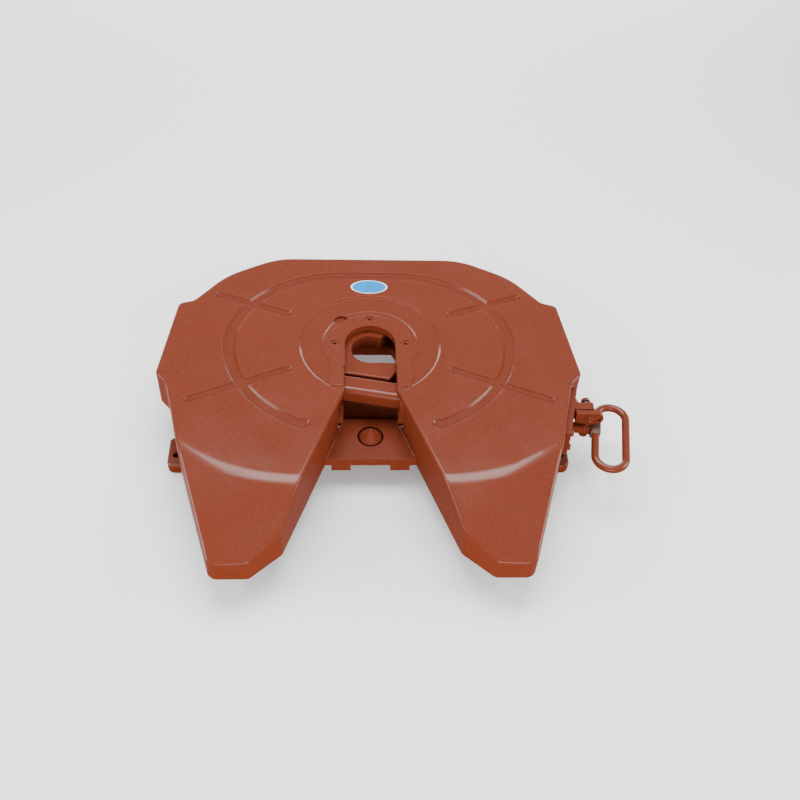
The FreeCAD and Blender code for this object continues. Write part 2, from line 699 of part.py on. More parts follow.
def latch_bolt():
    x, z = LATCH_PIVOT
    return hex_bolt(x, LATCH_SPRING_Y[1] + 0.5, z, 6, 59, (0, -1, 0))


def latch_nut():
    x, z = LATCH_PIVOT
    return hexagon(x, LATCH_Y[0] - 0.3, z, 19, 7, (0, -1, 0)).cut(
        rod(x, -300, z, 6, 300, (0, 1, 0)))


def latch_spring():
    x, z = LATCH_PIVOT
    y0, y1 = LATCH_SPRING_Y
    return rod(x, y0, z, 11, y1 - y0, (0, 1, 0)).cut(rod(x, y0 - 5, z, 6, 30, (0, 1, 0)))


def safety_latch():
    x, z = LATCH_PIVOT
    inner, outer = LATCH_X
    wire = path((inner, z - LATCH_R), [(outer, z - LATCH_R),
                                       ((outer + LATCH_R, z), (outer, z + LATCH_R)),
                                       (inner, z + LATCH_R), (inner, z - LATCH_R)])
    plate = Part.Face(wire).extrude(V(0, 0, LATCH_Y[1] - LATCH_Y[0]))
    plate.rotate(V(0, 0, 0), V(1, 0, 0), 90)
    plate.translate(V(0, LATCH_Y[1], 0))
    # The lower inner edge slopes upward, so the outer end can be lifted.
    drop = (x - inner + 1) * math.tan(math.radians(LATCH_LIFT + 1))
    y = LATCH_Y[0] - 1
    corner = [V(x, y, z - LATCH_R), V(inner - 1, y, z - LATCH_R),
              V(inner - 1, y, z - LATCH_R + drop)]
    wedge = Part.Face(Part.makePolygon(corner + [corner[0]]))
    plate = plate.cut(wedge.extrude(V(0, 20, 0)))
    plate = plate.cut(rod(x, -300, z, 6 + PIN_PLAY, 200, (0, 1, 0)))
    return plate.cut(rod(518.5, -300, z - 4, 4.5, 200, (0, 1, 0)))


# ---- guide cone in the rear web ----
def guide_cone():
    cone = Part.makeCone(CONE_R, 3, CONE_H, V(0, CONE_Y, WEB_TOP))
    body = rod(0, CONE_Y, WEB_TOP - WEB_T, CONE_R, WEB_T)
    flange = rod(0, CONE_Y, WEB_TOP - WEB_T - 8, 38, 8)
    return cone.fuse([body, flange])


def cone_bolts():
    return Part.makeCompound([hexagon(32 * math.cos(a), CONE_Y + 32 * math.sin(a),
                                      WEB_TOP - 33, 9, 3) for a in (0.8, 2.4, 3.9, 5.5)])


def grease_nipple(x, y, z, axis):
    nipple = rod(x, y, z, 5, 6, axis)
    ahead = V(x, y, z) + V(*axis) * 6
    return nipple.fuse(Part.makeSphere(3.5, ahead))


def grease_nipples():
    return Part.makeCompound([grease_nipple(x, 80, TOP_Z - 60, (0, -1, 0)) for x in (-220, 220)])


os.makedirs("parts", exist_ok=True)
save("top_plate", top_plate())
save("wear_ring", wear_ring())
save("wear_ring_screws", ring_screws())
save("oval_badge", badge())
for side_name, place in (("right", lambda s: s), ("left", mirror_x)):
    save(side_name + "_pedestal", place(right_pedestal()))
    save(side_name + "_rubber_bush", place(bush(26, 38, 62)))
    save(side_name + "_bush_sleeve", place(bush(PIN_R + PIN_PLAY, 26, 66)))
    save(side_name + "_bracket_pin", place(bracket_pin()))
    save(side_name + "_pin_keeper", place(pin_keeper()))
save("pin_keeper_bolts", keeper_bolts())
save("lock_hook", lock_hook())
save("hook_bush", hook_bush())
save("hook_pivot_pin", hook_pin())
save("hook_pin_nut", hook_pin_nut())
save("lock_support_plate", support_plate())
save("lock_support_bolts", support_bolts())
save("lock_bar", lock_bar())
save("spring_guide_rod", guide_rod())
save("guide_rod_nut", guide_rod_nut())
save("lock_spring", lock_spring())
save("bar_stud", bar_stud())
save("stud_washer", stud_washer())
save("pull_bar", pull_bar())
save("handle_sleeve", handle_sleeve())
save("loop_handle", loop_handle())
save("handle_bolt", handle_bolt())
save("handle_guide_plate", guide_plate())
save("guide_plate_bolts", guide_bolts())
save("latch_bracket", latch_bracket())
save("latch_bolt", latch_bolt())
save("latch_nut", latch_nut())
save("latch_spring", latch_spring())
save("safety_latch", safety_latch())
save("guide_cone", guide_cone())
save("cone_bolts", cone_bolts())
save("grease_nipples", grease_nipples())
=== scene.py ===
# %% [markdown]
# # A fifth wheel coupling, painted oxide red
# This lesson dresses a finished engineering model of a truck's fifth wheel coupling. The frame is
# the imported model: its plates, pedestals and lock parts are already the right shape. Here they get
# their paint and their bare metal, and the small parts that were plain stand-ins are modelled
# properly: springs, bolts, the badge, weld seams and the sleeve on the pull handle.

import json
import math
import bpy
from mathutils import Matrix, Vector


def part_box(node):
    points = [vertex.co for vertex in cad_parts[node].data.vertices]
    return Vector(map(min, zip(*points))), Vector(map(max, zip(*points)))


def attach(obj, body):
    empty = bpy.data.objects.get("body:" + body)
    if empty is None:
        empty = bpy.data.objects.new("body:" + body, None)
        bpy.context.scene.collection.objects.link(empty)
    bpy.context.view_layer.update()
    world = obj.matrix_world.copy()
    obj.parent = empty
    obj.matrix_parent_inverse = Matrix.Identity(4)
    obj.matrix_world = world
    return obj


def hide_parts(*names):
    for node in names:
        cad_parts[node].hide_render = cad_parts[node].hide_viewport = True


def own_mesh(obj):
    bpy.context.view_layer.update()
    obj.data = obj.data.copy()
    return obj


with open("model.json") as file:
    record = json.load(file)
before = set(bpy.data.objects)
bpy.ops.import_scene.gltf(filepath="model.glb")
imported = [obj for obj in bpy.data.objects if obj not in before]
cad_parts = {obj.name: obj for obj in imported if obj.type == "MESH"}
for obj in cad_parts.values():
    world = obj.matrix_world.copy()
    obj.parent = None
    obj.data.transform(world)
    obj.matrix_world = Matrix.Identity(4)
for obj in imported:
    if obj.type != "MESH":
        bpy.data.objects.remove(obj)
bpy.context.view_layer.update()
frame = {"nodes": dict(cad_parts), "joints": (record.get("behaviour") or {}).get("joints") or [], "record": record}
nodes = frame["nodes"]

# %% [markdown]
# The joints tell where things turn and slide, so positions are read from them and from the nodes'
# boxes. A node that groups several equal fasteners is one mesh with loose parts. `loose_parts`
# walks over its edges and gives the points of each part, and `spans` measures a set of points along
# any direction. Together they find the centre line of every bolt, so it can be replaced where it
# sits.

# %% Places from the frame
joints = {j["name"]: j for j in frame["joints"]}
TOP_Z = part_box("wear_ring")[1].z
SLIDE = Vector(joints["bar_slide"]["axis"]).normalized()


def loose_parts(node):
    """The points of each loose part of a CAD node, from left to right."""
    mesh = nodes[node].data
    key = [tuple(round(c, 5) for c in v.co) for v in mesh.vertices]
    group = {k: k for k in key}

    def root(k):
        while group[k] != k:
            group[k] = group[group[k]]
            k = group[k]
        return k

    for edge in mesh.edges:
        a, b = root(key[edge.vertices[0]]), root(key[edge.vertices[1]])
        if a != b:
            group[a] = b
    parts = {}
    for k in group:
        parts.setdefault(root(k), []).append(Vector(k))
    return sorted(parts.values(), key=lambda points: min(tuple(p) for p in points))


def spans(points, direction):
    """A point on the middle line along a direction, and where the points start and end on it."""
    along = Vector(direction).normalized()
    across = along.orthogonal().normalized()
    other = along.cross(across)
    middle = Vector()
    for axis in (across, other):
        values = [p.dot(axis) for p in points]
        middle += axis * (min(values) + max(values)) / 2
    values = [p.dot(along) for p in points]
    return middle, min(values), max(values)


print("plate top at", round(TOP_Z, 4), "m;", len(loose_parts("pin_keeper_bolts")), "keeper bolts")

# %% [markdown]
# The camera comes first, because it decides how much detail each piece needs. It looks down on the
# plate from behind the truck with a normal lens. A camera's rotation matrix has its right, up and
# backward directions as columns, so writing those three down is the plainest way to aim it.

# %% Camera
CAMERA_PLACE = (-0.0562, -1.6788, 1.8349)
CAMERA_RIGHT = (0.998547, -0.033942, 0.041951)
CAMERA_UP = (-0.003076, 0.740356, 0.672218)
CAMERA_BACKWARD = (-0.053875, -0.671365, 0.73917)
camera_data = bpy.data.cameras.new("camera")
camera_data.lens = 45.0
camera_data.sensor_width = 36.0
camera = bpy.data.objects.new("camera", camera_data)
bpy.context.scene.collection.objects.link(camera)
turn = Matrix((CAMERA_RIGHT, CAMERA_UP, CAMERA_BACKWARD)).transposed().to_4x4()
camera.matrix_world = Matrix.Translation(CAMERA_PLACE) @ turn
bpy.context.scene.camera = camera
print("camera distance", round(camera.location.length, 3), "m")

# %% [markdown]
# The studio is a pale floor with broad soft lights. Gloss paint shows what it mirrors, so the
# lights are large panels: one overhead for the flat top, one on each side for the skirts and the
# horns, a low one in front for the throat and the end faces, and a long strip far behind that draws
# bright lines on the rounded edges.

# %% Floor and lights
FLOOR_SIZE = 12
FLOOR_COLOUR = (0.92, 0.92, 0.93, 1)
WORLD_COLOUR = (1.0, 1.0, 1.0, 1)
WORLD_STRENGTH = 0.52
bpy.ops.object.select_all(action="DESELECT")
bpy.ops.mesh.primitive_plane_add(size=FLOOR_SIZE, location=(0, 0, 0))
floor = bpy.context.object
floor.name = "studio_floor"
floor_paint = bpy.data.materials.new("studio_floor")
floor_paint.use_nodes = True
floor_shader = floor_paint.node_tree.nodes["Principled BSDF"]
floor_shader.inputs["Base Color"].default_value = FLOOR_COLOUR
floor_shader.inputs["Roughness"].default_value = 0.6
floor.data.materials.append(floor_paint)

world = bpy.data.worlds.new("studio")
bpy.context.scene.world = world
world.use_nodes = True
background = world.node_tree.nodes["Background"]
background.inputs["Color"].default_value = WORLD_COLOUR
background.inputs["Strength"].default_value = WORLD_STRENGTH


def soft_light(name, place, aim, size, power):
    """A rectangular soft box that points at a place on the object. Size in metres, power in watts."""
    data = bpy.data.lights.new(name, "AREA")
    data.shape = "RECTANGLE"
    data.size, data.size_y = size
    data.energy = power
    light = bpy.data.objects.new(name, data)
    bpy.context.scene.collection.objects.link(light)
    light.location = place
    light.rotation_euler = (Vector(aim) - Vector(place)).to_track_quat("-Z", "Y").to_euler()


soft_light("overhead", (0.0, 0.5, 2.6), (0, 0, 0.1), (2.3, 1.2), 108)
soft_light("left_side", (-2.3, -0.5, 1.3), (0, -0.1, 0.1), (1.2, 1.6), 52)
soft_light("right_side", (2.3, -0.3, 1.1), (0, -0.1, 0.1), (1.0, 1.4), 38)
soft_light("front_fill", (0.2, -2.6, 0.75), (0, -0.2, 0.1), (2.0, 1.0), 74)
soft_light("back_strip", (0.0, 3.0, 0.75), (0, 0, 0.2), (4.5, 0.9), 90)

# %% [markdown]
# Materials are built from a few small node recipes. Noise in Object coordinates gives speckle,
# orange peel and patches of colour, always at a real scale in metres. The Bevel node finds the
# edges: where the rounded normal differs from the true one there is an edge, and the paint there is
# painted lighter, partly as rubbed thin paint and partly as a painted highlight.

# %% Node recipes


def new_material(name, colour, roughness, metallic=0.0):
    """An empty procedural material with its Principled shader."""
    material = bpy.data.materials.new(name)
    material.use_nodes = True
    shader = material.node_tree.nodes["Principled BSDF"]
    shader.inputs["Base Color"].default_value = (*colour, 1)
    shader.inputs["Roughness"].default_value = roughness
    shader.inputs["Metallic"].default_value = metallic
    return material, material.node_tree, shader


def add(tree, kind, **values):
    """A node with its named sockets set."""
    node = tree.nodes.new(kind)
    for name, value in values.items():
        node.inputs[name.replace("_", " ")].default_value = value
    return node


def noise(tree, scale, detail=3.0, rough=0.5):
    """Grey noise in Object coordinates."""
    place = tree.nodes.new("ShaderNodeTexCoord")
    texture = add(tree, "ShaderNodeTexNoise", Scale=scale, Detail=detail, Roughness=rough)
    tree.links.new(place.outputs["Object"], texture.inputs["Vector"])
    return texture.outputs["Fac"]


def ramp(tree, source, stops):
    """A colour ramp: stops are (position, grey or colour)."""
    node = tree.nodes.new("ShaderNodeValToRGB")
    tree.links.new(source, node.inputs["Fac"])
    marks = node.color_ramp.elements
    while len(marks) < len(stops):
        marks.new(0.5)
    for mark, (position, value) in zip(marks, stops):
        mark.position = position
        mark.color = (value, value, value, 1) if isinstance(value, float) else (*value, 1)
    return node.outputs["Color"]


def mix(tree, factor, first, second):
    """Colour between two; each is a socket or a colour."""
    node = tree.nodes.new("ShaderNodeMix")
    node.data_type = "RGBA"
    for number, value in ((0, factor), (6, first), (7, second)):
        socket = node.inputs[number]
        if isinstance(value, bpy.types.NodeSocket):
            tree.links.new(value, socket)
        elif isinstance(value, tuple):
            socket.default_value = (*value, 1)
        else:
            socket.default_value = value
    return node.outputs[2]


def blend(first, second, share):
    """The constant colour a share of the way from first to second."""
    return tuple((1 - share) * a + share * b for a, b in zip(first, second))


def edge_mask(tree, radius, low, high):
    """White on sharp edges within radius metres, black on flats."""
    rounded = add(tree, "ShaderNodeBevel", Radius=radius)
    rounded.samples = 4
    true_normal = tree.nodes.new("ShaderNodeNewGeometry")
    dot = tree.nodes.new("ShaderNodeVectorMath")
    dot.operation = "DOT_PRODUCT"
    tree.links.new(rounded.outputs["Normal"], dot.inputs[0])
    tree.links.new(true_normal.outputs["Normal"], dot.inputs[1])
    return ramp(tree, dot.outputs["Value"], [(low, 1.0), (high, 0.0)])


def flatness(tree):
    """One on level faces and zero on upright ones, whatever the pose."""
    place = tree.nodes.new("ShaderNodeTexCoord")
    parts = tree.nodes.new("ShaderNodeSeparateXYZ")
    tree.links.new(place.outputs["Normal"], parts.inputs[0])
    size = tree.nodes.new("ShaderNodeMath")
    size.operation = "ABSOLUTE"
    tree.links.new(parts.outputs["Z"], size.inputs[0])
    return ramp(tree, size.outputs[0], [(0.20, 0.0), (0.75, 1.0)])


def bump(tree, shader, layers, edge=0.0015):
    """Softened edges first, then a chain of bumps: (height socket, strength, depth in metres)."""
    softened = add(tree, "ShaderNodeBevel", Radius=edge)
    softened.samples = 4
    before = softened.outputs["Normal"]
    for height, strength, depth in layers:
        node = add(tree, "ShaderNodeBump", Strength=strength, Distance=depth)
        tree.links.new(height, node.inputs["Height"])
        tree.links.new(before, node.inputs["Normal"])
        before = node.outputs["Normal"]
    tree.links.new(before, shader.inputs["Normal"])


print("recipes ready")

# %% [markdown]
# The paint is a thick gloss enamel over cast iron. Three things make it real: slow patches where the
# coat is a little thicker and darker, a fine orange peel that breaks up reflections, and a lighter
# edge, partly rubbed paint and partly a painted highlight. The castings also carry a coarse, shallow
# waviness from the sand mould, so they get more bump than the bar stock. An upright wall would mirror
# the pale floor at a grazing angle and turn nearly white, so the gloss falls with the slope of the face.

# %% Oxide red paint
RED = (0.127, 0.0235, 0.0098)
RED_DEEP = (0.085, 0.014, 0.0058)
# A lighter red. A little of it goes into the speckle. On the edges it is both rubbed thin paint and a painted
# highlight.
RED_THIN_AND_HIGHLIT = (0.230, 0.058, 0.029)
SLOPE_GLOSS = (("IOR", 1.03, 1.30), ("Coat Weight", 0.0, 0.18))


def red_paint(name, peel, cast, edge_wear_and_highlight, gloss=0.20):
    """Peel and cast say how strong the orange peel and the waviness are; the third number says how strongly the
    edges are painted lighter, as rubbed paint and as a painted highlight.
    """
    material, tree, shader = new_material(name, RED, gloss)
    patches = ramp(tree, noise(tree, 5.0, 4.0), [(0.35, 0.0), (0.70, 1.0)])
    speckle = ramp(tree, noise(tree, 160.0, 2.0), [(0.40, 0.0), (0.72, 1.0)])
    coat = mix(tree, patches, RED, blend(RED, RED_DEEP, 0.28))
    coat = mix(tree, speckle, coat, blend(RED, RED_THIN_AND_HIGHLIT, 0.10))
    # Where the noise lets it through, the edges are painted lighter: partly rubbed thin paint, partly a painted
    # highlight.
    broken = ramp(tree, noise(tree, 60.0, 5.0, 0.7), [(0.42, 0.0), (0.62, edge_wear_and_highlight)])
    edges = edge_mask(tree, 0.0025, 0.80, 0.985)
    rubbed_and_highlit_edges = tree.nodes.new("ShaderNodeMath")
    rubbed_and_highlit_edges.operation = "MULTIPLY"
    tree.links.new(edges, rubbed_and_highlit_edges.inputs[0])
    tree.links.new(broken, rubbed_and_highlit_edges.inputs[1])
    coat = mix(tree, rubbed_and_highlit_edges.outputs[0], coat, RED_THIN_AND_HIGHLIT)
    tree.links.new(coat, shader.inputs["Base Color"])
    sheen = ramp(tree, noise(tree, 9.0, 4.0), [(0.30, gloss - 0.04), (0.75, gloss + 0.09)])
    tree.links.new(sheen, shader.inputs["Roughness"])
    shader.inputs["Coat Roughness"].default_value = 0.10
    facing = flatness(tree)
    for socket, dull, bright in SLOPE_GLOSS:
        level = add(tree, "ShaderNodeMapRange", To_Min=dull, To_Max=bright)
        tree.links.new(facing, level.inputs["Value"])
        tree.links.new(level.outputs["Result"], shader.inputs[socket])
    bump(tree, shader, [(noise(tree, 26.0, 3.0), cast, 0.0016),
                        (noise(tree, 330.0, 2.0), peel, 0.0004)])
    return material


cast_paint = red_paint("cast_paint", peel=0.16, cast=0.10, edge_wear_and_highlight=0.75)
rough_cast_paint = red_paint("rough_cast_paint", peel=0.25, cast=0.40, edge_wear_and_highlight=0.60, gloss=0.30)
bar_paint = red_paint("bar_paint", peel=0.14, cast=0.03, edge_wear_and_highlight=0.90)
bolt_paint = red_paint("bolt_paint", peel=0.20, cast=0.02, edge_wear_and_highlight=0.95, gloss=0.26)
print("paints:", [m.name for m in bpy.data.materials if m.name.endswith("paint")])

# %% [markdown]
# Bare metals share one recipe: stains of a darker colour, brighter edges and a fine grain. The
# sleeve on the handle is brown-grey raw steel, so its grain is deep and it is less metallic.
# Springs are dark and oiled. The rubber of the bushes is plain black with patches of dust.

# %% Metals and rubber


def plain_metal(name, light, dark, roughness, scale, bump_depth, metallic=1.0):
    """A metal with stains of a darker colour and brighter edges."""
    material, tree, shader = new_material(name, light, roughness, metallic)
    stain = ramp(tree, noise(tree, scale, 6.0, 0.65), [(0.35, 0.0), (0.68, 1.0)])
    colour = mix(tree, stain, light, dark)
    edges = edge_mask(tree, 0.0012, 0.82, 0.99)
    colour = mix(tree, edges, colour, tuple(min(1.0, c * 1.35 + 0.04) for c in light))
    tree.links.new(colour, shader.inputs["Base Color"])
    dull = ramp(tree, noise(tree, scale * 2.2, 4.0),
                [(0.3, roughness - 0.07), (0.75, roughness + 0.14)])
    tree.links.new(dull, shader.inputs["Roughness"])
    bump(tree, shader, [(noise(tree, scale * 9.0, 3.0), 0.35, bump_depth)])
    return material


bare_steel = plain_metal("bare_steel", (0.42, 0.40, 0.37), (0.20, 0.17, 0.145), 0.34, 45.0, 0.0002)
raw_steel = plain_metal("raw_steel", (0.150, 0.092, 0.072), (0.075, 0.040, 0.028), 0.47, 90.0,
                        0.0005, metallic=0.75)
spring_steel = plain_metal("spring_steel", (0.10, 0.10, 0.105), (0.045, 0.04, 0.04), 0.32, 120.0,
                           0.0002)
bronze = plain_metal("bronze", (0.55, 0.36, 0.17), (0.30, 0.17, 0.08), 0.30, 70.0, 0.0002)
brass = plain_metal("brass", (0.72, 0.55, 0.25), (0.42, 0.28, 0.11), 0.25, 90.0, 0.0001)
RUBBER = (0.028, 0.027, 0.026)
RUBBER_DUST = (0.10, 0.092, 0.085)
rubber, rubber_tree, rubber_shader = new_material("bush_rubber", RUBBER, 0.68)
dust = ramp(rubber_tree, noise(rubber_tree, 55.0, 5.0), [(0.45, 0.0), (0.75, 0.35)])
rubber_tree.links.new(mix(rubber_tree, dust, RUBBER, RUBBER_DUST), rubber_shader.inputs["Base Color"])
bump(rubber_tree, rubber_shader, [(noise(rubber_tree, 420.0, 2.0), 0.4, 0.0003)])
print("metals ready")

# %% [markdown]
# The badge is a thin enamelled oval. The field is blue with soft clouds of a lighter blue, under a
# thin clear coat. Its rim is white enamel. It carries no lettering.

# %% Badge enamel


def enamel(name, colour, other):
    """A smooth enamel that drifts softly between two colours."""
    material, tree, shader = new_material(name, colour, 0.16)
    cloud = ramp(tree, noise(tree, 30.0, 2.0), [(0.3, 0.0), (0.8, 1.0)])
    tree.links.new(mix(tree, cloud, colour, other), shader.inputs["Base Color"])
    shader.inputs["IOR"].default_value = 1.22
    shader.inputs["Coat Weight"].default_value = 0.08
    shader.inputs["Coat Roughness"].default_value = 0.05
    bump(tree, shader, [(noise(tree, 500.0, 2.0), 0.10, 0.0002)])
    return material


blue_enamel = enamel("blue_enamel", (0.001, 0.190, 0.520), (0.002, 0.225, 0.580))
white_enamel = enamel("white_enamel", (0.80, 0.80, 0.79), (0.74, 0.75, 0.76))
print("enamels:", blue_enamel.name, white_enamel.name)

# %% [markdown]
# Every node of the frame gets its finish here, from the record's material slots. The castings get
# the paint with the mould's waviness, and bar and plate stock the smoother one. The meshes
# themselves stay as they are.

# %% Finish the frame's nodes
finishes = {"plate_paint": cast_paint, "pedestal_paint": rough_cast_paint, "lock_paint": bar_paint,
            "handle_paint": bar_paint, "fastener_paint": bolt_paint, "bare_steel": bare_steel,
            "sleeve_steel": raw_steel, "spring_steel": spring_steel, "bush_rubber": rubber,
            "bronze": bronze, "nipple_brass": brass, "badge_blue": blue_enamel}
for part in frame["record"]["subparts"]:
    mesh = nodes[part["node"]].data
    mesh.materials.clear()
    mesh.materials.append(finishes[part["material_slot"]])

# %% [markdown]
# Small hardware is modelled here. `finish_piece` is the last step for every piece: its place goes
# into the mesh, the normals face outward, it gets its material and it rides on a body. `grow_up` is
# the main tool. It starts from a disc and extrudes it upward step by step, with a new radius at
# each step, like work on a lathe.

# %% Small piece helpers


def only(obj):
    """Selects this object alone and makes it active."""
    bpy.ops.object.select_all(action="DESELECT")
    obj.select_set(True)
    bpy.context.view_layer.objects.active = obj


def settle(obj):
    """Puts the object's place into its mesh."""
    only(obj)
    bpy.ops.object.transform_apply(location=True, rotation=True, scale=True)
    return obj


def grow_up(name, radius, steps, low=0.0, vertices=40):
    """A disc at this height, extruded upward in steps of (new radius, rise)."""
    bpy.ops.object.select_all(action="DESELECT")
    bpy.ops.mesh.primitive_circle_add(vertices=vertices, radius=radius, fill_type="NGON",
                                      location=(0, 0, low))
    obj = bpy.context.object
    obj.name = name
    settle(obj)
    bpy.ops.object.mode_set(mode="EDIT")
    bpy.ops.mesh.select_all(action="SELECT")
    now = radius
    for new, rise in steps:
        bpy.ops.mesh.extrude_region_move(TRANSFORM_OT_translate={"value": (0, 0, rise)})
        if abs(new - now) > 1e-7:
            bpy.ops.transform.resize(value=(new / now, new / now, 1), center_override=(0, 0, 0))
        now = new
    bpy.ops.object.mode_set(mode="OBJECT")
    return obj


def join(name, parts):
    """Makes one object of several and names it."""
    only(parts[0])
    for part in parts[1:]:
        part.select_set(True)
    if len(parts) > 1:
        bpy.ops.object.join()
    parts[0].name = name
    return parts[0]


def copy_at(source, matrix):
    """A copy with its own mesh, put at a place."""
    copy = bpy.data.objects.new(source.name, source.data.copy())
    bpy.context.scene.collection.objects.link(copy)
    copy.matrix_world = matrix
    return settle(copy)


def towards(place, direction, spin=0.0):
    """The matrix that puts a piece's own +Z along a direction at a place."""
    turn = Vector(direction).to_track_quat("Z", "Y").to_matrix().to_4x4()
    return Matrix.Translation(place) @ turn @ Matrix.Rotation(spin, 4, "Z")


def finish_piece(obj, body, material, stands_for=(), angle=35):
    settle(obj)
    bpy.ops.object.mode_set(mode="EDIT")
    bpy.ops.mesh.select_all(action="SELECT")
    bpy.ops.mesh.normals_make_consistent(inside=False)
    bpy.ops.object.mode_set(mode="OBJECT")
    bpy.ops.object.shade_smooth_by_angle(angle=math.radians(angle))
    if material is not None:
        obj.data.materials.clear()
        obj.data.materials.append(material)
    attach(obj, body)
    if stands_for:
        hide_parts(*stands_for)
    return obj


def remove(obj):
    """Deletes a helper object."""
    bpy.data.objects.remove(obj, do_unlink=True)


print("helpers ready")

# %% [markdown]
# A forged hexagon head isn't a plain prism: its corners are turned down to a cone. So the prism is
# intersected with a disc whose upper rim slopes, which leaves the familiar curved edge on each
# flat. The head is modelled once at one metre across flats and one metre high, and is scaled for
# every use.

# %% Bolt head pattern
bpy.ops.object.select_all(action="DESELECT")
bpy.ops.mesh.primitive_cylinder_add(vertices=6, radius=1 / math.sqrt(3), depth=1, location=(0, 0, 0.5))
head_pattern = bpy.context.object
head_pattern.name = "head_pattern"
settle(head_pattern)
head_cone = grow_up("head_cone", 0.60, [(0.60, 0.84), (0.47, 0.36)], low=-0.1, vertices=96)
only(head_pattern)
cut = head_pattern.modifiers.new("corners", "BOOLEAN")
cut.operation = "INTERSECT"
cut.object = head_cone
bpy.ops.object.modifier_apply(modifier=cut.name)
remove(head_cone)
print("head pattern:", len(head_pattern.data.vertices), "vertices")

# %% [markdown]
# A fastener is put together from a washer, a head and a shank whose end is domed. The last stretch
# of the shank can carry a thread, made of small rings. In its own space the seat is at z = 0 and
# the head stands on it.

# %% Fasteners


def hex_fastener(name, flats, height, shank=0.0, reach=0.0, washer=0.0, thread=0.0):
    """Flats is the width across flats, shank a radius, reach the shank's length below the seat."""
    parts = [copy_at(head_pattern, Matrix.Translation((0, 0, washer * 0.9))
                     @ Matrix.Diagonal((flats, flats, height, 1)))]
    if washer:
        edge = washer * 0.2
        rim = flats * 0.61
        parts.append(grow_up("washer", rim - edge, [(rim, edge), (rim, washer - 2 * edge),
                                                    (rim - edge, edge)]))
    if reach:
        tip = shank * 0.30
        steps = [(shank * 0.78, tip * 0.35), (shank, tip * 0.65)]
        pitch = shank * 0.24
        rings = int(thread / pitch)
        for _ in range(rings):
            steps += [(shank * 0.90, pitch * 0.5), (shank, pitch * 0.5)]
        steps.append((shank, reach - rings * pitch + washer + height * 0.5))
        parts.append(grow_up("shank", shank * 0.40, steps, low=-reach - tip, vertices=28))
    return join(name, parts)


def fasten(node, outward, body, flats, height, seat_depth, shank=0.0, washer=0.0, thread=0.0,
           mirrored=False):
    """Fasteners on the centre lines of a node's loose parts.

    Outward points from seat to head, and the seat is seat_depth below the node's end. A mirrored
    set has the opposite X direction on the left side.
    """
    copies = []
    for number, points in enumerate(loose_parts(node)):
        direction = Vector(outward)
        if mirrored and points[0].x <= 0:
            direction.x = -direction.x
        line, start, end = spans(points, direction)
        seat = end - seat_depth
        reach = seat - start if shank else 0.0
        pattern = hex_fastener(node + "_detail", flats, height, shank, reach, washer, thread)
        place = line + direction.normalized() * seat
        copies.append(copy_at(pattern, towards(place, direction, 0.3 + 0.7 * number)))
        remove(pattern)
    piece = join(node + "_detail", copies)
    return finish_piece(piece, body, bolt_paint, (node,))


DOWN = (0, 0, -1)
WALL_OUT = (0.9724, -0.2334, 0)
# Node, outward and body, then in metres: width across flats, head height, depth of the seat,
# radius of the shank, thickness of the washer, length of the thread.
fasten("pin_keeper_bolts", (-1, 0, 0), "top_plate", 0.0130, 0.0052, 0.0052, 0.004, mirrored=True)
fasten("lock_support_bolts", DOWN, "top_plate", 0.0165, 0.0060, 0.0065, 0.005, 0.0016)
fasten("guide_plate_bolts", WALL_OUT, "top_plate", 0.0130, 0.0048, 0.0052, 0.004, 0.0012)
fasten("handle_bolt", DOWN, "pull_handle", 0.0190, 0.0070, 0.0078, 0.006, 0.0018)
fasten("latch_bolt", (0, 1, 0), "top_plate", 0.0185, 0.0080, 0.0078, 0.006, 0.0018, thread=0.014)
fasten("latch_nut", (0, -1, 0), "top_plate", 0.0190, 0.0062, 0.0070, washer=0.0010)
fasten("hook_pin_nut", DOWN, "top_plate", 0.0420, 0.0150, 0.0160, washer=0.0010)
fasten("guide_rod_nut", SLIDE, "top_plate", 0.0240, 0.0074, 0.0080, washer=0.0010)
fasten("cone_bolts", DOWN, "top_plate", 0.0090, 0.0030, 0.0030)
remove(head_pattern)

# %% [markdown]
# Springs, weld seams and the split pin are bent wire. A poly curve with a round bevel is the plain
# way to draw wire. Each curve becomes a mesh with closed ends before it gets its place.

# %% Bent wire


def wire(name, points, radius, sizes=None, rings=3):
    """A closed tube along points; sizes scale its radius point by point."""
    data = bpy.data.curves.new(name, "CURVE")
    data.dimensions = "3D"
    data.bevel_depth = radius
    data.bevel_resolution = rings
    data.use_fill_caps = True
    line = data.splines.new("POLY")
    line.points.add(len(points) - 1)
    for number, point in enumerate(points):
        line.points[number].co = (*point, 1)
        line.points[number].radius = sizes[number] if sizes else 1.0
    obj = bpy.data.objects.new(name, data)
    bpy.context.scene.collection.objects.link(obj)
    only(obj)
    bpy.ops.object.convert(target="MESH")
    obj = bpy.context.object
    bpy.ops.object.mode_set(mode="EDIT")
    bpy.ops.mesh.select_all(action="SELECT")
    bpy.ops.mesh.remove_doubles(threshold=1e-6)
    bpy.ops.object.mode_set(mode="OBJECT")
    return obj


print("wire ready")

# %% [markdown]
# Its last coil at each end lies flat, as on a real compression spring. The number of coils is
# chosen so that the pressed spring still has room between them.

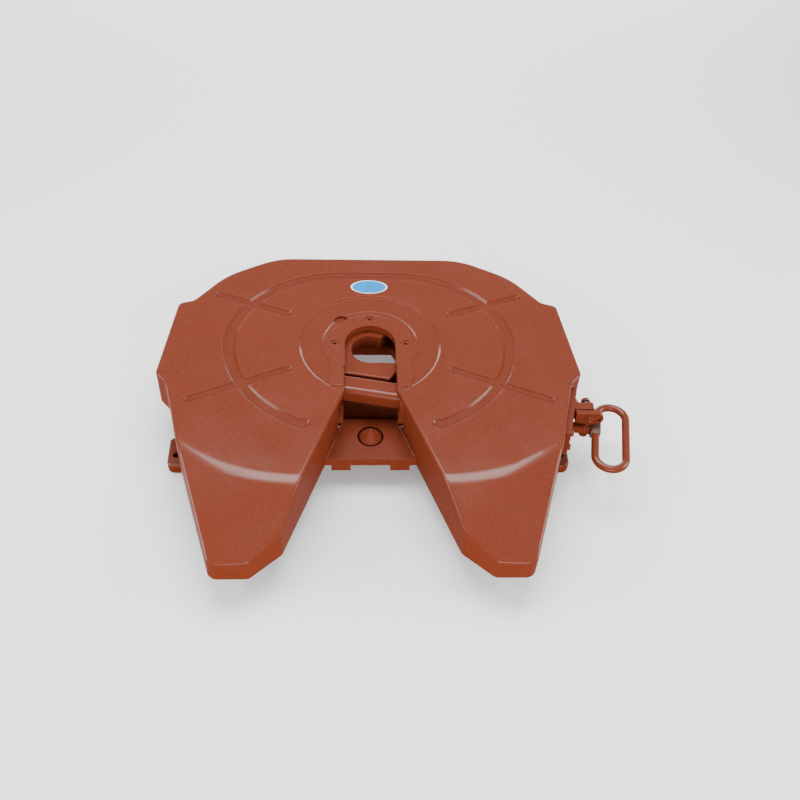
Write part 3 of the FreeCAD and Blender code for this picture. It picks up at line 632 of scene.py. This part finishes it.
# %% Lock spring
line, start, end = spans([v.co.copy() for v in nodes["lock_spring"].data.vertices], SLIDE)
COIL_R = 0.0125
WIRE_R = 0.0022
COILS = 12
STEPS_PER_COIL = 28
length = end - start - 2 * WIRE_R
across = Vector((0, 0, 1))
other = SLIDE.cross(across)
flat = 1.1 * WIRE_R * 2
points = []
for step in range(COILS * STEPS_PER_COIL + 1):
    turn = step / STEPS_PER_COIL
    inner = min(max(turn - 1, 0) / (COILS - 2), 1.0)
    rise = flat * min(turn, 1) + (length - 2 * flat) * inner + flat * max(0, turn - COILS + 1)
    angle = turn * 2 * math.pi
    points.append(line + SLIDE * (start + WIRE_R + rise)
                  + (across * math.cos(angle) + other * math.sin(angle)) * COIL_R)
lock_coil = finish_piece(wire("lock_coil_spring", points, WIRE_R), "top_plate", spring_steel,
                         ("lock_spring",), angle=60)
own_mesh(lock_coil)

# %% [markdown]
# The latch has a short torsion spring round its bolt. One leg lies against the bracket and the
# other points to the latch plate.

# %% Latch spring
LATCH_COIL_R = 0.0093
LATCH_WIRE_R = 0.0014
LATCH_END_GAP = 0.0016
LATCH_COILS = 5
LATCH_STEPS = 24
line, start, end = spans([v.co.copy() for v in nodes["latch_spring"].data.vertices], (0, 1, 0))
low, high = start + LATCH_END_GAP, end - LATCH_END_GAP
points = [line + Vector((0.0095, low, 0.017))]
for step in range(LATCH_COILS * LATCH_STEPS + 1):
    angle = step / LATCH_STEPS * 2 * math.pi
    rise = low + (high - low) * step / (LATCH_COILS * LATCH_STEPS)
    points.append(line + Vector((LATCH_COIL_R * math.cos(angle), rise, LATCH_COIL_R * math.sin(angle))))
points.append(line + Vector((LATCH_COIL_R, high, -0.014)))
finish_piece(wire("latch_torsion_spring", points, LATCH_WIRE_R), "top_plate", spring_steel,
             ("latch_spring",), angle=60)
print("latch spring:", LATCH_COILS, "coils")

# %% [markdown]
# A split pin holds the washer on the stud under the lock bar. It's one wire: an eye, and two legs
# that are bent apart behind the stud.

# %% Split pin
stud_low, stud_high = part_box("bar_stud")
centre = (stud_low + stud_high) / 2
level = stud_low.z + 0.0022
eye = [(-0.0110 - 0.0026 * math.sin(a), 0.0024 * math.cos(a)) for a in
       [math.radians(d) for d in range(20, 161, 20)]]
path = [(0.0165, 0.0068), (0.0125, 0.0022), (0.0085, 0.0008), (-0.0085, 0.0008), *eye,
        (-0.0085, -0.0008), (0.0085, -0.0008), (0.0115, -0.0022), (0.0145, -0.0060)]
points = [Vector((centre.x + x, centre.y + y, level)) for x, y in path]
finish_piece(wire("stud_split_pin", points, 0.0009), "lock_bar", bare_steel, angle=60)
print("split pin at height", round(level, 4), "m")

# %% [markdown]
# A weld bead is a row of small frozen puddles. The wire's radius swells and shrinks along the seam,
# with a little irregularity, and that reads as a hand-laid bead once it's painted over.

# %% Weld seams


def bead(name, start, end, radius, body):
    """A weld seam from start to end with a rippled surface and thin ends."""
    start, end = Vector(start), Vector(end)
    count = max(8, int((end - start).length / (radius * 0.42)))
    points = []
    sizes = []
    for number in range(count + 1):
        share = number / count
        wander = 0.12 * radius * math.sin(number * 1.7) + 0.08 * radius * math.sin(number * 0.61)
        points.append(start.lerp(end, share) + Vector((0, 0, wander)))
        ends = min(1.0, 0.45 + 6 * min(share, 1 - share))
        ripple = 1.0 + 0.13 * math.sin(number * 1.9) + 0.05 * math.sin(number * 0.7)
        sizes.append(ripple * ends)
    return finish_piece(wire(name, points, radius, sizes, rings=2), body, bar_paint,
                        angle=70)


WEB_TOP = TOP_Z - 0.105
FOOT_TOP = 0.0245
FOOT_SEAM_END = 0.160
FOOT_SEAMS = ((0.402, "outer"), (0.368, "inner"))
for side, word in ((1, "right"), (-1, "left")):
    bead(f"{word}_web_weld", (side * 0.0612, -0.152, WEB_TOP), (side * 0.1000, -0.262, WEB_TOP),
         0.0030, "top_plate")
    for x, place in FOOT_SEAMS:
        bead(f"{word}_foot_{place}_weld", (side * x, -FOOT_SEAM_END, FOOT_TOP),
             (side * x, FOOT_SEAM_END, FOOT_TOP), 0.0042, "pedestals")

# %% [markdown]
# The sleeve that ties the pull bar to the loop is a forged block with soft edges. It's a cube
# brought to size and beveled, turned to the loop's direction. Short weld beads close the joint with
# the pull bar.

# %% Handle sleeve
LOOP_TURN = math.radians(-100.0)
LOOP_X = Vector((math.cos(LOOP_TURN), math.sin(LOOP_TURN), 0))
LOOP_Y = Vector((-LOOP_X.y, LOOP_X.x, 0))
PULL_BAR_DEPTH = 0.0200
SLEEVE_EDGE = 0.0030
SEAM_HALF = 0.009
corners = [v.co.copy() for v in nodes["handle_sleeve"].data.vertices]
_, x0, x1 = spans(corners, LOOP_X)
_, y0, y1 = spans(corners, LOOP_Y)
_, z0, z1 = spans(corners, (0, 0, 1))
bpy.ops.object.select_all(action="DESELECT")
bpy.ops.mesh.primitive_cube_add(size=1)
sleeve = bpy.context.object
sleeve.scale = (x1 - x0, y1 - y0, z1 - z0)
settle(sleeve)
bpy.ops.object.mode_set(mode="EDIT")
bpy.ops.mesh.select_all(action="SELECT")
bpy.ops.mesh.bevel(offset=SLEEVE_EDGE, segments=4, affect="EDGES")
bpy.ops.object.mode_set(mode="OBJECT")
centre = LOOP_X * (x0 + x1) / 2 + LOOP_Y * (y0 + y1) / 2 + Vector((0, 0, (z0 + z1) / 2))
sleeve.matrix_world = Matrix.Translation(centre) @ Matrix.Rotation(LOOP_TURN, 4, "Z")
sleeve.name = "handle_sleeve_block"
finish_piece(sleeve, "pull_handle", raw_steel, ("handle_sleeve",))
bar_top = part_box("pull_bar")[1].z
face = LOOP_Y * (y0 - 0.0006)
for height, word in ((bar_top, "upper"), (bar_top - PULL_BAR_DEPTH, "lower")):
    middle = face + LOOP_X * centre.dot(LOOP_X) + Vector((0, 0, height))
    bead(f"sleeve_{word}_weld", middle - LOOP_X * SEAM_HALF, middle + LOOP_X * SEAM_HALF, 0.0020,
         "pull_handle")
print("sleeve", [round(v, 4) for v in sleeve.dimensions])

# %% [markdown]
# The badge sits in a shallow seat in the plate. It's an oval disc with a raised white rim and a
# field that bulges a little. The rings are extruded one inside the other, and the faces near the
# middle take the blue.

# %% Oval badge
BADGE_RINGS = ((1.0, 0.7), (0.985, 0.2), (0.93, 0.1), (0.915, -0.3), (0.90, 0.0), (0.6, 0.2),
               (0.3, 0.1))
FIELD = 0.91
low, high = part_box("oval_badge")
half_x, half_y = (high.x - low.x) / 2, (high.y - low.y) / 2
rise = high.z - low.z
bpy.ops.object.select_all(action="DESELECT")
bpy.ops.mesh.primitive_circle_add(vertices=96, radius=1, fill_type="NGON")
badge = bpy.context.object
bpy.ops.object.mode_set(mode="EDIT")
bpy.ops.mesh.select_all(action="SELECT")
now = 1.0
for new, lift in BADGE_RINGS:
    bpy.ops.mesh.extrude_region_move(TRANSFORM_OT_translate={"value": (0, 0, lift)})
    bpy.ops.transform.resize(value=(new / now, new / now, 1), center_override=(0, 0, 0))
    now = new
bpy.ops.object.mode_set(mode="OBJECT")
badge.name = "oval_badge_blank"
badge.data.materials.append(white_enamel)
badge.data.materials.append(blue_enamel)
for face in badge.data.polygons:
    inside = face.center.z > 0.1 and face.center.xy.length < FIELD
    face.material_index = 1 if inside else 0
badge.matrix_world = Matrix.Translation((low + high).xy.to_3d() / 2 + Vector((0, 0, low.z))) \
    @ Matrix.Diagonal((half_x, half_y, rise, 1))
finish_piece(badge, "top_plate", None, ("oval_badge",))
print("badge", [round(v, 4) for v in badge.dimensions])

# %% [markdown]
# The grease nipples are turned brass with a ball end. They stick out of the cross rib under the
# plate.

# %% Grease nipples
NIPPLE_PROFILE = [(0.0050, 0.0035), (0.0034, 0.0008), (0.0030, 0.0022), (0.0022, 0.0006),
                  (0.0024, 0.0004), (0.0033, 0.0012), (0.0030, 0.0011), (0.0016, 0.0008)]
nipples = []
for points in loose_parts("grease_nipples"):
    line, start, end = spans(points, (0, -1, 0))
    place = line + Vector((0, -start, 0))
    base = grow_up("nipple", 0.0050, NIPPLE_PROFILE, vertices=32)
    nipples.append(copy_at(base, towards(place, (0, -1, 0))))
    remove(base)
print("grease nipples:", len(nipples))
nipples = join("grease_nipples_turned", nipples)
finish_piece(nipples, "top_plate", brass, ("grease_nipples",))

# %% [markdown]
# A stop pin with a domed head sits low on the latch plate, under its bolt.

# %% Latch stop pin
latch_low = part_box("safety_latch")[0]
PIN_PROFILE = [(0.0040, 0.0050), (0.0056, 0.0002), (0.0056, 0.0016), (0.0048, 0.0016),
               (0.0030, 0.0010), (0.0012, 0.0003)]
pin = grow_up("latch_stop_pin", 0.0040, PIN_PROFILE)
pin.matrix_world = towards((0.4945, latch_low.y + 0.0040, latch_low.z + 0.0068), (0, -1, 0))
finish_piece(pin, "safety_latch", bolt_paint)
